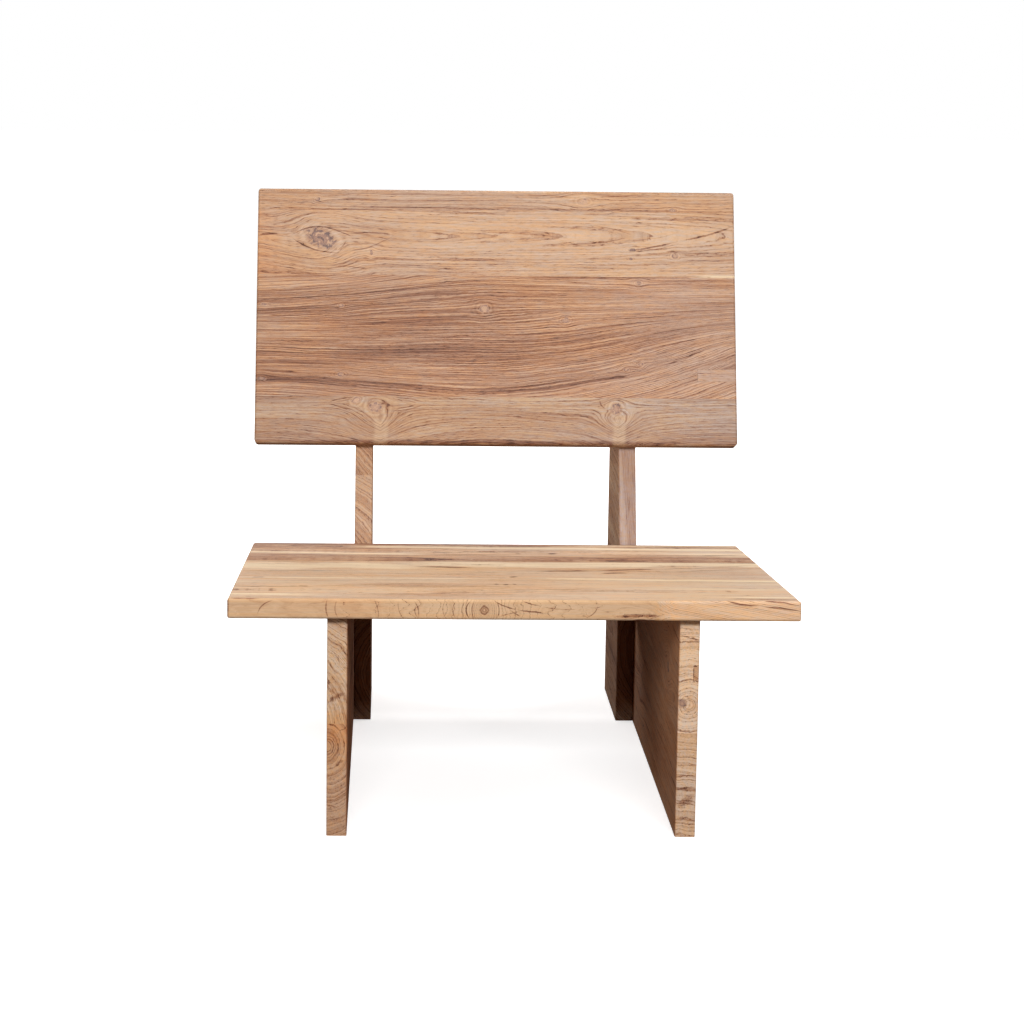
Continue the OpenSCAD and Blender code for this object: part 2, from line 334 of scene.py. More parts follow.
# Noises of the wood, as turns per millimetre along the grain and across it
ORANGE_PATCHES = 0.007, 0.03
HUE_FIBRES, HUE_PATCHES = (0.035, 0.22), (0.005, 0.015)
RING_WOBBLE = 0.07, 0.16
RING_WIDTHS, RING_STRENGTHS = (0.0015, 0.07), (0.006, 5.17)
STREAKS, BROAD_CHANGES = (0.0045, 0.3), (0.0028, 0.035)
FIBRES = 0.06, 1.1
DASHES, DASHES_DEEP = (0.075, 0.62), 0.5
OPEN_PORES, SOFT_DENTS = (0.1, 2.2), (0.01, 0.03)
KNOT_ROUGH, KNOT_DEEP = 0.16, 0.05
# Sine waves round a knot and in it, as radians over its radius, and how fast the outer ones fade
HALO_RATE, CORE_RATE, HALO_FADE = 8.5, 9, -1.6
# Darkness that the growth of a ring, the fibres and the rings round a knot add
RING_DARK, FIBRE_DARK, HALO_DARK = 0.06, 0.12, 0.12
# Roughness of pale wood, and what darkness and fibres add to it
ROUGH, ROUGH_DARK, ROUGH_FIBRE = 0.50, 0.10, 0.08
# Strength of the bump, and its depth in metres
BUMP_STRENGTH, BUMP_DEPTH = 0.35, 0.0003


def warm(at, seed, amount):
    """A stain of oranger patches."""
    return step(drawn(at, *ORANGE_PATCHES, seed, 3.0, 0.6), -0.2, 1.0) * amount, ORANGE


def late_wood(s, u, seed, pitch, sharp, uneven):
    """Darkness of the rings' late wood, each ring's strength, and how far a ring has grown."""
    turn = s * (1 / pitch) + ringwise(s, u, *RING_WIDTHS, seed) * uneven
    ring = calc("FRACT", turn)
    each = ringwise(calc("FLOOR", turn), u, *RING_STRENGTHS, seed + 3, 1.0)
    late = step(ring, sharp, sharp * 0.1 + 0.895) * step(ring, sharp * 0.1 + 0.905, 1.0, 1, 0)
    return late * late, high(each * 0.7 + 0.65, 0), ring


def knot_core(colour, at, seed, far, dark):
    """The colour with a knot's rough dark core on it."""
    u, v, w = at
    rough = noise(u * KNOT_ROUGH, v * KNOT_ROUGH, w * KNOT_DEEP + seed, 3.0, 0.6)
    rim = step(size(far - 0.75), 0, 0.3, 0.35, 0)
    swirl = calc("SINE", far * CORE_RATE + rough * 7) * 0.2 + rough * 0.6 - rim
    inside = step(far + rough * 0.7, 0.55, 1.2, 0.9, 0)
    return blend(inside, colour, ramp(swirl + (0.62 - dark) + far * 0.3, KNOT))


def wood_colour(depth, at, seed, cast, stains, sapwood, knots):
    """Colour of the wood from its depth of tone, 0 to 1."""
    u, v, _ = at
    along, across = HUE_PATCHES
    hue = drawn(at, *HUE_FIBRES, seed + 7, 4.0, 0.7) + noise(u * along, v * across, seed) * 0.5
    colour = tinted(1.0, ramp(depth, TEAK), blend(step(hue, -0.55, 0.55), COOL, WARM))
    if cast:
        colour = tinted(1.1 - depth * 1.1, colour, cast)
    for amount, stain in stains:
        colour = tinted(amount, colour, stain)
    if sapwood is not None:
        colour = blend(sapwood, colour, ramp(depth * 0.8, SAPWOOD))
    for far, dark in knots:
        colour = knot_core(colour, at, seed, far, dark)
    return colour


def surface_bump(at, seed):
    """Normal of a planed surface with open pores."""
    bump = tree.nodes.new("ShaderNodeBump")
    bump.inputs["Strength"].default_value = BUMP_STRENGTH
    bump.inputs["Distance"].default_value = BUMP_DEPTH
    open_pore = step(drawn(at, *OPEN_PORES, seed, 1.0), 0.1, 0.45)
    put(drawn(at, *SOFT_DENTS, 0.0, 1.0) * 2 - open_pore, bump.inputs["Height"])
    return Value(bump.outputs[0])


def teak(seed, at, s, pitch, lines, fine, broad, tone, marks=None, sapwood=None, knots=(), cast=None,
         pores=0.36, stains=(), sharp=0.45, uneven=2.2, thin=1.0):
    """Makes the material that was begun last into wood, at the coordinates at.

    s is the place across the growth rings in millimetres, and pitch their mean width. lines, fine, broad and
    pores are the strengths of the late wood, the streaks, the broad changes and the pores. marks adds
    darkness, sapwood is its share, cast tints the paler wood, and a stain is a share and a tint. sharp and
    uneven shape the rings, and thin makes the streaks narrower.
    """
    u, _, w = at
    s = s + drawn(at, *RING_WOBBLE, seed, 2.0, 0.6) * 0.6
    late, strong, ring = late_wood(s, u, seed, pitch, sharp, uneven)
    streak_along, streak_across = STREAKS
    streaks = ringwise(s, u, streak_along, streak_across * thin, seed + 5, 5.0, 0.68)
    dash_along, dash_across = DASHES
    dashes = noise(u * dash_along, s * dash_across, w * DASHES_DEEP + seed, 3.0, 0.68)
    dash = step(dashes, -0.05, 0.75)
    fibre = drawn((u, s, w), *FIBRES, 0.0, 3.0, 0.75)
    broken = dash * 0.8 + 0.6
    depth = late * strong * broken * lines + ring * RING_DARK + tone
    depth = depth + streaks * fine + fibre * FIBRE_DARK
    depth = depth + dash * (late * 0.8 + 0.45) * pores
    depth = depth + ringwise(s, u, *BROAD_CHANGES, seed + 9) * broad
    if marks is not None:
        depth = depth + marks * broken
    for far, _ in knots:
        halo = calc("SINE", far * HALO_RATE + fibre * 2) * exp(size(far - 1.1) * HALO_FADE)
        depth = depth + halo * HALO_DARK
    shader = tree.nodes["Principled BSDF"]
    put(wood_colour(depth, at, seed, cast, stains, sapwood, knots), shader.inputs["Base Color"])
    put(depth * ROUGH_DARK + fibre * ROUGH_FIBRE + ROUGH, shader.inputs["Roughness"])
    put(surface_bump(at, seed), shader.inputs["Normal"])


# Knots of the back's boards, as bent takes them, and their dark lines: from, to, width, bow, darkness
TOP_KNOTS = ((128, 362, 9, 5, 0.9, 4.5, -0.3), (-263, 362, 4, 3.0, 0.6, 2.5, 0.05, 0.6),
             (259, 350, 6, 3, 0.7, 3.0, -0.1))
TOP_LINES = ((-262, 351, 345, 347, 2.5, 1, 0.45), (-352, 346, -120, 347, 2.2, 0, 0.5),
             (40, 370, 126, 366, 1.5, 2, 0.4), (135, 366, 230, 372, 1.5, 2, 0.4))
ARCHED_KNOTS = ((-257, 303, 24, 14, 0.85, 3.0, 0.18, -0.45), (-183, 279, 2.2, 3, 0.7, 3.0, 0.0),
                (199, 290, 6, 2.5, 0.7, 3.0, 0.4), (197, 277, 3, 2.5, 0.6, 3.0, 0.4),
                (262, 281, 5, 4, 0.6, 2.6, -0.1))
ARCHED_LINES = (
    (192, 289, 268, 304, 2.0, -2, 0.9), (268, 304, 352, 329, 2.2, -3, 0.8),
    (205, 288, 262, 298, 1.4, -2, 0.6), (-303, 306, -222, 309, 1.6, 13, 1.0),
    (-302, 306, -226, 282, 1.6, -8, 0.9), (-352, 306, -318, 310, 2.5, 1, 0.9),
    (-238, 315, -212, 306, 1.3, 1, 0.9), (-236, 284, -220, 300, 1.2, -2, 0.7),
    (-226, 309, -150, 309, 1.5, 3, 0.6), (-150, 309, -226, 284, 1.5, 6, 0.45),
    (-245, 262, -180, 256, 1.5, 2, 0.4), (-60, 313, 118, 305, 1.4, 4, 0.4),
    (60, 296, 121, 304, 1.4, -2, 0.45), (100, 298, 203, 311, 1.4, -4, 0.4),
    (130, 327, 203, 311, 1.4, 3, 0.4), (180, 304, 272, 318, 1.3, -4, 0.35),
    (150, 331, 272, 318, 1.3, 4, 0.35))
LINED_KNOTS = ((-18, 200, 8, 7, 0.5, 2.2, -0.25), (-227, 203, 4, 2.5, 0.8, 3.0, -0.1),
               (-339, 204, 4, 2, 0.8, 3.0, 0.0), (101, 184, 6, 4.5, 0.6, 2.5, -0.05),
               (208, 240, 4.5, 3, 0.8, 3.0, 0.0), (189, 111, 4, 2.5, 0.8, 3.0, 0.0),
               (210, 119, 4, 3, 0.8, 3.0, 0.0), (-226, 101, 6, 3, 0.8, 3.0, 0.0),
               (-341, 94, 6, 3, 0.8, 3.0, 0.1))
LINED_LINES = ((34, 248, 290, 249, 2.5, 0, 0.5), (-350, 212, -60, 240, 3, -5, 0.35))
BOTTOM_KNOTS = ((-176, 53, 11, 9, 0.9, 3.0, -0.05), (-203, 59, 8, 4, 0.8, 2.6, -0.2),
                (174, 53, 8, 9, 0.9, 3.0, 0.05))
BOTTOM_LINES = (
    (-245, 59, -205, 67, 1.5, 2, 0.5), (-245, 59, -205, 50, 1.5, -2, 0.5),
    (-236, 59, -207, 64, 1.2, 1, 0.4), (-155, 67, -100, 60, 1.5, 2, 0.45),
    (-155, 48, -100, 60, 1.5, -3, 0.45), (-150, 64, -115, 59, 1.2, 2, 0.4),
    (-150, 52, -115, 59, 1.2, -2, 0.4), (-83, 70, -60, 63, 1.3, 1, 0.4),
    # The last line, along the bottom edge, is painted shade on the board's rounded lower edge
    (150, 68, 160, 52, 1.5, -3, 0.5), (-352, 3, 352, 3, 5.0, 0, 0.5))
# Places across the bottom board of the stems below its knots, and the reach of the grain that fans out
STEMS = (-168, 176)
STEM_REACH = 50
# Slow waves of the back's grain, with their height in millimetres
BOARD_WAVES, BOTTOM_WAVES, WAVE_HEIGHT = (0.004, 0.02), (0.005, 0.02), 4


def top_strip():
    start("teak_back_4")
    u, v, w = at = along_back()
    bent_v, knots = bent(u, v, TOP_KNOTS)
    s = bent_v + w * 0.7 + drawn(at, *BOARD_WAVES) * WAVE_HEIGHT
    marks = dark_strokes(u, v, TOP_LINES) + step(u, -220, -330) * 0.1
    teak(11.0, at, s, 2.8, lines=0.5, fine=0.38, broad=0.12, tone=0.21, marks=marks, knots=knots,
         cast=(0.98, 1.03, 1.12), stains=(warm(at, 1.0, 0.4),), thin=1.3)
    give("back_board_4")


def arched_board():
    """Light board with the large knot and the pointed arches."""
    start("teak_back_3")
    u, v, w = at = along_back()
    bent_v, knots = bent(u, v, ARCHED_KNOTS)
    s = rings(u + 350, bent_v, w, 309, 6.5, 0.0, -0.05, 4.0, 2.0)
    low_left = step(v - u * 0.03, 300, 255) * step(u, 260, -80)
    marks = dark_strokes(u, v, ARCHED_LINES) + low_left * 0.16 + step(u, -220, -330) * 0.15
    left_end = step(u, -300, -352) * 0.8
    pale = band(u, v, 250, 2.5, 300, 420, fade=20)
    teak(23.0, at, s, 5.0, lines=0.42, fine=0.28, broad=0.14, tone=0.13, marks=marks, sapwood=pale,
         knots=knots, cast=(0.98, 1.04, 1.14), stains=(warm(at, 2.0, 0.4), (left_end, (1.06, 0.88, 0.7))),
         thin=1.2)
    give("back_board_3")


def lined_board():
    """Darker lined board, whose lines dip at the left and sweep up at the right."""
    start("teak_back_2")
    u, v, w = at = along_back()
    bent_v, knots = bent(u, v, LINED_KNOTS)
    dip = step(u, -350, 0, 1, 0) * (16 - (v - 94) * 0.36)
    sweep = power(high(u + 20, 0) * (1 / 370), 1.9) * step(v, 140, 235, 79, 0)
    s = bent_v - dip - sweep + w * 0.8 + drawn(at, *BOARD_WAVES, 7) * WAVE_HEIGHT
    dark = (band(u, s, 226, 22, -400, 20, amount=0.11, fade=80) + band(u, s, 140, 28, -230, 260, amount=0.14)
            + band(u, s, 78, 6, -400, 180, amount=0.35, fade=120))
    light = (band(u, v, 170, 24, -400, -240, amount=0.12, fade=60) + step(v, 205, 236) * 0.13
             + step(v, 115, 85) * 0.08 + step(u, 0, 240) * 0.16 + step(v, 98, 92) * step(u, 250, 300) * 0.09)
    marks = dark - light + dark_strokes(u, v, LINED_LINES)
    right = step(u, 40, 280)
    stains = warm(at, 3.0, 0.5), (step(u, 0, 250), (1, 1.03, 1.11))
    teak(37.0, at, s, 3.0, lines=right * 0.2 + 0.5, fine=0.6 - right * 0.16, broad=0.14, tone=0.42,
         marks=marks, knots=knots, cast=(1.0, 1.02, 1.08), pores=right * 0.34 + 0.36, stains=stains, thin=1.5)
    give("back_board_2")


def bottom_board():
    """Beige board with two knots, below which the grain fans out."""
    start("teak_back_1")
    u, v, w = at = along_back()
    bent_v, knots = bent(u, v, BOTTOM_KNOTS)
    fans = most([exp(size(u - stem) * (-1 / STEM_REACH)) for stem in STEMS]) * step(v, 68, 15, 0, 26)
    s = bent_v + fans + w * 0.5 + drawn(at, *BOTTOM_WAVES, 5) * WAVE_HEIGHT
    pale = most([band(v, u, stem, 13, -20, 36, fade=16) for stem in STEMS]) * 0.3
    marks = dark_strokes(u, v, BOTTOM_LINES) + step(v, 50, 10) * 0.1
    stains = ((step(u, -50, 250), (0.98, 1.02, 1.12)),)
    teak(51.0, at, s, 3.0, lines=0.34, fine=0.26, broad=0.14, tone=0.29, marks=marks, sapwood=pale,
         knots=knots, cast=(0.88, 1.04, 1.24), stains=stains, thin=1.4)
    give("back_board_1")


def back_patch():
    start("teak_back_patch")
    u, v, w = at = along_back()
    s = v + w * 0.3 + u * 0.05
    teak(63.0, at, s, 3.0, lines=0.16, fine=0.2, broad=0.1, tone=0.22, cast=(0.93, 1.01, 1.25))
    give("back_patch")


# Seat boards: number, pith's place and depth, drift, rise, pitch, streaks, tone, and tone added at each end
SEAT = ((1, 80, 60, 0.01, 0.02, 5.5, 0.44, 0.06, 0.0, -0.16),
        (2, 330, 48, -0.02, 0.01, 5.0, 0.44, 0.0, 0.03, -0.08),
        (3, 380, 90, 0.0, 0.0, 4.5, 0.28, 0.36, -0.05, 0.05),
        (4, 470, 45, 0.015, 0.02, 4.2, 0.44, 0.17, 0.06, -0.2),
        (5, 520, 70, 0.0, 0.0, 4.0, 0.44, 0.42, 0.0, -0.12))
# Pale sapwood by board: place, half width, from, to, slope, amount
SEAT_PALE = {
    1: ((39, 9, -400, -262), (31, 7, 266, 400), (187, 5, -305, -45, 0.0, 0.8), (198, 9, 52, 400, -0.06),
        (104, 12, 180, 400, 0.0, 0.4), (147, 10, -400, -90, 0.0, 0.35),
        (158, 20, -210, -50, 0.0, 0.4), (165, 30, 260, 400, 0.0, 0.4)),
    2: ((187, 5, -305, -45, 0.0, 0.8), (198, 9, 52, 400, -0.06), (311, 46, -400, -120, 0.0, 0.8),
        (332, 34, -120, 420, 0.05, 0.85)),
    3: ((421, 11, -400, -110, -0.096), (434, 16, 290, 400, 0.0, 0.6)),
    4: ((421, 11, -400, -110, -0.096), (512, 13, -203, 400, -0.025), (452, 20, 250, 400, 0.0, 0.6)),
    5: ((517, 9, -203, 400, -0.025), (544, 12, 150, 400, 0.0, 0.8))}
# Darker bands by board, or paler ones with an amount below 0: place, half width, from, to, slope, amount
SEAT_DULL = {
    1: ((60, 14, -115, -30, 0.0, 0.12), (25, 14, 230, 400, 0.0, 0.16)),
    2: ((228, 38, -400, 400, 0.0, 0.08), (265, 20, 30, 400, 0.12, 0.12)),
    3: ((395, 40, -400, -100, 0.0, 0.10), (380, 14, -150, 400, 0.0, 0.16),
        (394, 20, 130, 200, 0.0, 0.25), (438, 24, 0, 400, 0.0, -0.22)),
    4: ((488, 17, -240, -40, 0.0, 0.10), (506, 20, -400, -150, 0.0, 0.36),
        (456, 24, 0, 400, 0.0, -0.16)),
    5: ((548, 20, -300, 260, 0.0, 0.26),)}
# Dark lines by board: from, to, width, bow, darkness
SEAT_DARK = {
    1: ((-38, 75, 141, 107, 5, 2, 0.4), (141, 107, 350, 112, 5, 0, 0.3), (-350, 94, -262, 100, 5, 8, 0.5),
        (-265, 111, -73, 143, 5, 3, 0.45), (-113, 53, -40, 66, 11, 0, 0.3), (252, 20, 350, 14, 10, 0, 0.5),
        (-19, 133, -14, 141, 3.5, 0, 0.8), (-9, 130, -2, 139, 3.5, 0, 0.8), (4, 143, 8, 133, 3.5, 0, 0.8),
        (-269, 113, -254, 109, 7, 0, 0.8)),
    2: ((-122, 307, -38, 295, 11, 0, 1.0), (38, 265, 119, 275, 11, -2, 0.8),
        (119, 275, 205, 297, 10, -2, 0.8), (205, 297, 350, 338, 6, -3, 0.5),
        (123, 247, 164, 255, 10, 0, 0.9), (220, 267, 330, 294, 7, 2, 0.6),
        (-350, 251, -170, 259, 4, 3, 0.35), (-100, 227, 10, 252, 4, 3, 0.4),
        (3, 202, 13, 212, 7, 0, 1.0), (-333, 190, -312, 193, 8, 0, 0.8)),
    3: ((275, 434, 350, 456, 10, 0, 0.8), (-350, 428, -200, 420, 6, 0, 0.4)),
    4: ((275, 434, 350, 456, 10, 0, 0.6), (72, 444, 78, 458, 8, 0, 1.2), (23, 443, 29, 452, 6, 0, 0.8),
        (-100, 460, -60, 462, 8, 0, 0.5), (268, 434, 285, 437, 9, 0, 1.0)),
    5: ((230, 532, 300, 530, 7, 0, 0.5),)}
# Knots by board, as bent takes them
SEAT_KNOTS = {
    1: ((-5, 137, 14, 8, 0.8, 3.0, 0.0), (-109, 60, 8, 6, 0.8, 3.0, 0.0),
        (-262, 112, 6, 4, 0.8, 3.0, 0.0)),
    2: ((7, 207, 6, 4, 0.8, 3.0, 0.0), (-323, 191, 6, 4, 0.8, 3.0, 0.0)),
    3: (),
    4: ((75, 452, 8, 6, 0.8, 3.0, 0.0), (278, 440, 7, 5, 0.8, 3.0, 0.0)),
    5: ()}
# Dark cracks of the seat's front edge, in the same way, as width and height on that edge
EDGE_DARK = (
    (-52, 26, -53, -1, 1.2, -7, 0.8), (-48, 26, -49, -1, 1.0, -4, 0.5), (-25, 26, -24, -1, 1.1, 5, 0.5),
    (-57, 26, -59, -1, 0.9, -7, 0.4), (-28, 26, 3, 13, 1.2, -2.5, 0.7), (3, 13, 38, 9, 1.5, -1, 0.8),
    (7, 25, 32, 17, 1.2, -1, 0.6), (32, 17, 78, 15, 1.0, -2, 0.4), (-20, 3, 7, 11, 1.0, 1, 0.45),
    (-6, 13, 7, 5, 1.2, -1, 0.55), (101, 19, 87, 4, 1.0, 3, 0.6), (-120, 18, -118, 2, 1.0, -3, 0.6),
    (119, 5, 181, 7, 3.5, 0, 0.5), (140, 0.5, 176, 0.5, 1.5, 0, 0.9), (256, 26, 300, 19, 2.0, -1.5, 0.9),
    (300, 19, 352, 13, 2.0, 0, 0.7), (298, 26, 350, 19, 1.6, 1, 0.7), (-350, 26, -310, 25, 2.5, 0, 0.6),
    (-314, 4, -292, 23, 1.3, 5, 0.5), (-228, 25, -226, 0, 1.6, -3, 0.4), (-216, 25, -214, 0, 1.2, -4, 0.35),
    (-172, 25, -166, 0, 1.0, 2, 0.4), (-142, 25, -135, 0, 1.0, -3, 0.35), (-124, 24, -118, 1, 1.2, 3, 0.5),
    (-84, 25, -82, 0, 1.0, -5, 0.35), (-70, 25, -70, 0, 1.0, -6, 0.35))
# Middle of the eye in the front edge, across and up
EYE_U, EYE_UP = -37.5, 12
# Loops beside it: middle, half length, half height, and how far they pull the lines
LOOP_U, LOOP_UP, LOOP_LONG, LOOP_TALL, LOOP_PULL = 150, 8, 32, 9, 16
# Slanted lines at the right of the front edge: where they begin and are full, and their slope
SLANT_FROM, SLANT_FULL, SLANT_SLOPE = 166, 196, 0.185
# Noises of the front edge, as turns per millimetre
EDGE_WOBBLE, EDGE_ROUGH, EYE_ROUGH = (0.02, 0.09), (0.3, 0.5), 0.2


def front_edge(u, up):
    """Growth lines of the seat's front edge: (distance, grain, line sharpness, eye, slanted share)."""
    x, y = u - EYE_U, up - EYE_UP
    far = root(x * x + y * y * 0.5 + 4)
    along, across = EDGE_WOBBLE
    wobble = noise(u * along, up * across, 3.0, 3.0) * far * 0.13
    loop_x, loop_y = (u - LOOP_U) * (1 / LOOP_LONG), (up - LOOP_UP) * (1 / LOOP_TALL)
    loops = exp((loop_x * loop_x + loop_y * loop_y) * -1) * LOOP_PULL
    round_eye = calc("LOGARITHM", high(far + wobble, 2), math.e) * 30 - loops
    slanted = (up + u * SLANT_SLOPE) * 2.5 + 48
    right = step(u, SLANT_FROM, SLANT_FULL)
    grain = up * 3 + (u - up * 3) * right
    sharp = 1 - calc("DIVIDE", 9, far + 8) * (1 - right) - right * 0.5
    core = root(x * x * (1 / 18) + y * y * (1 / 22))
    eye = (size(x) * (1 / 6.5) + size(y) * (1 / 6)) * 0.5 + core * 0.5
    eye = eye + noise(u * EYE_ROUGH, up * EYE_ROUGH, 5.0) * 0.22
    return round_eye + (slanted - round_eye) * right, grain, sharp, eye, right


def edge_marks(u, up, eye, right):
    """Darkness of the front edge's cracks and of its eye."""
    along, across = EDGE_ROUGH
    patches = step(noise(u * along, up * across, 4.0, 2.0), 0.0, 0.6)
    rough = patches * band(u, up, 5, 5, 119, 181, fade=12)
    eye_lines = step(size(eye - 1), 0, 0.4, 0.6, 0) + step(size(eye - 0.35), 0, 0.2, 0.4, 0)
    left_arris = step(u, -347, -349.5) * 0.7
    edge = dark_strokes(u, up, EDGE_DARK) * 1.5 + eye_lines + rough * 0.4
    return edge + step(eye, 0.7, 1.4, 0.14, 0) - right * 0.12 + left_arris


def seat_board(number, pith_v, pith_w, drift, rise, pitch, fine, tone, left_end, right_end):
    start("teak_seat_%d" % number)
    u, v, w = at = along_seat()
    bent_v, _ = bent(u, v, SEAT_KNOTS[number])
    s = rings(u, bent_v, w, pith_v, pith_w, drift, rise, 6.0, number * 1.7)
    pale = most([band(u, v, *row) for row in SEAT_PALE[number]])
    ends = step(u, 0, -300) * left_end + step(u, 0, 300) * right_end
    marks = dark_strokes(u, v, SEAT_DARK[number], 2.5) + ends
    for row in SEAT_DULL[number]:
        marks = marks + band(u, v, *row)
    lines, sharp, uneven = 0.46, 0.45, 1.2
    stains = [warm(at, 4.0, 0.8), (step(u, 200, 340) * 0.8, (1.0, 1.03, 1.12))]
    if number == 1:
        front, up = step(v, 2.0, 5.0, 1, 0), PLANK - w
        turned, grain, keen, eye, right = front_edge(u, up)
        s = s + (turned - s) * front
        sharp = (keen - sharp) * front + sharp
        marks = marks + (edge_marks(u, up, eye, right) - marks) * front
        pale = pale * (1 - front)
        fine, lines, uneven = fine - front * 0.3, front * 0.16 + lines, uneven - front * 0.6
        at = u + (grain - u) * front, v, w
        stains.append((front * (1 - right), (0.93, 0.89, 0.82)))
        stains.append((front * right, (1.07, 0.99, 0.90)))
    teak(70 + number * 7.0, at, s, pitch, lines, fine, broad=0.2, tone=tone, marks=marks, sapwood=pale,
         cast=(1.07, 1.18, 1.28), stains=stains, sharp=sharp, uneven=uneven)
    give("seat_board_%d" % number)


# Planks on edge: node, pith height and depth, squeeze of the height, drift, rise, pitch, tone, cast
UPRIGHTS = (
    ("left_side_lower", 122, -216, 0.7, 0.01, 0.03, 3.4, 0.27, (1.0, 1.0, 1.02)),
    ("left_side_upper", 130, -319, 1.0, 0.02, 0.02, 4.2, 0.09, (1.04, 1.16, 1.27)),
    ("right_side_lower", -260, 190, 1.0, 0.02, 0.03, 5.0, 0.11, (1.06, 1.18, 1.36)),
    ("right_side_upper", 171, 210, 1.0, 0.01, -0.02, 3.2, 0.03, (1.17, 1.33, 1.54)),
    # The lowest support boards' darker tone and cast are painted shade from under the seat
    ("left_support_1", 60, -120, 1.0, 0.05, 0.0, 4.0, 0.48, (0.78, 0.88, 1.05)),
    ("left_support_2", 200, -290, 1.0, 0.0, 0.05, 4.4, 0.27, (0.93, 0.98, 1.03)),
    ("left_support_3", 300, -250, 1.0, 0.04, 0.0, 3.6, 0.40, (0.88, 0.94, 1.0)),
    ("left_support_4", 640, -120, 1.0, 0.0, 0.06, 4.2, 0.24, (1.0, 1.0, 1.0)),
    # Darker tone and cast of this lowest board: painted shade from under the seat
    ("right_support_1", 100, 300, 1.0, 0.05, 0.0, 4.0, 0.50, (0.72, 0.86, 1.05)),
    ("right_support_2", 60, -240, 1.0, 0.02, 0.03, 2.6, 0.32, (0.90, 1.03, 1.18)),
    ("right_support_3", 520, 240, 1.0, 0.04, 0.03, 4.0, 0.26, (1.0, 1.0, 1.0)),
    ("right_support_4", 600, 330, 1.0, 0.0, 0.05, 4.4, 0.22, (1.0, 1.0, 1.0)))
# Dark marks on their front edges: across and height, from and to, width, bow, darkness
UPRIGHT_DARK = {
    "left_side_upper": ((-229, 168, -206, 182, 4, 2, 0.6), (-229, 190, -218, 178, 2.5, 0, 0.5),
                        (-229, 186, -226, 200, 3, 0, 0.5), (-226, 240, -212, 214, 1.5, 2, 0.35),
                        (-229, 228, -214, 204, 1.5, -2, 0.4), (-220, 250, -206, 232, 1.3, 2, 0.3)),
    "left_side_lower": ((-229, 141, -216, 136, 1.6, 3, 0.6), (-216, 136, -204, 141, 1.6, -3, 0.6),
                        (-219, 90, -207, 97, 3, 0, 0.6), (-229, 39, -216, 37, 1.6, 0, 0.6),
                        (-227, 30, -212, 33, 1.3, 6, 0.35), (-226, 28, -211, 24, 1.3, -5, 0.35)),
    "right_side_upper": ((203, 256, 230, 250, 1.8, 1, 0.8), (206, 268, 222, 262, 1.3, 0, 0.35),
                         (222.4, 197, 222.4, 219, 1.0, 0, 1.2), (221, 199, 231, 199, 1.0, 0, 1.2),
                         (221, 217.8, 231, 217.8, 1.0, 0, 1.2)),
    "right_side_lower": ((206, 35, 228, 54, 9, 2, 0.6), (200, 91, 232, 93, 1.4, 0, 0.5),
                         (200, 77, 232, 80, 1.8, 0, 0.6), (203, 60, 230, 63, 1.8, 2, 0.5),
                         (203, 22, 230, 20, 1.6, 3, 0.4))}
# Knots in their broad faces, as bent takes them
UPRIGHT_KNOTS = {"right_side_upper": ((-240, 190, 11, 10, 0.9, 4.0, 0.1),),
                 "left_side_upper": ((60, 215, 12, 7, 0.9, 4.0, 0.1),),
                 "right_side_lower": ((90, 70, 10, 6, 0.9, 4.0, 0.1),)}
# Knot in the end grain of the right side's upper board: across, height, radius, darkness
END_KNOT = 209, 171, 6.0, 0.15
# Orange stains of front edges: from no stain at one height to a full one at another, tint
UPRIGHT_ORANGE = {"left_side_upper": (166, 150, (1.02, 0.86, 0.66)),
                  "left_side_lower": (112, 124, (1.04, 0.88, 0.70))}
# Painted shade, a darker and redder tint, on the sides' inner faces under the seat, and the depths below such
# a face at which it starts to fade and ends
INNER_SHADE_TINT, INNER_FADE, INNER_END = (0.82, 0.61, 0.50), 0.3, 1.0
# Noises of the planks on edge, as turns per millimetre along the grain and across it
PLANK_WAVES, END_SPECKS, SIDE_CLOUDS = (0.004, 0.09), (0.06, 0.35), (0.012, 0.03)
LINE_ROUGH, POST_MOTTLE = (0.1, 0.25), (0.1, 0.12)


def lined_post(at, s):
    """Upright lines for the edges of the right support's second board, and a mottled front edge with a
    painted shadow along its inner arris.

    Gives the place across the rings, the lines, the streaks, the marks and the front edge's share.
    """
    u, v, w = at
    off_middle = size(w - (INNER_X + POST_X) / 2)
    face = step(off_middle, PLANK / 2 - 0.5, PLANK / 2 - 0.1)
    upright_lines = w + v * 0.06
    s = upright_lines + (s - upright_lines) * face
    near = (1 - face) * step(u, 300, 340, 1, 0)
    # Painted shadow in the gap along the post's inner arris
    arris_shadow = step(w, POST_X + 0.3, POST_X + 2.5, 0.35, 0)
    marks = (drawn(at, *POST_MOTTLE, 0.0, 3.0, 0.7) * 0.08 + arris_shadow) * near
    return s, face * 0.36 + 0.08, face * 0.28 + 0.06, marks, near


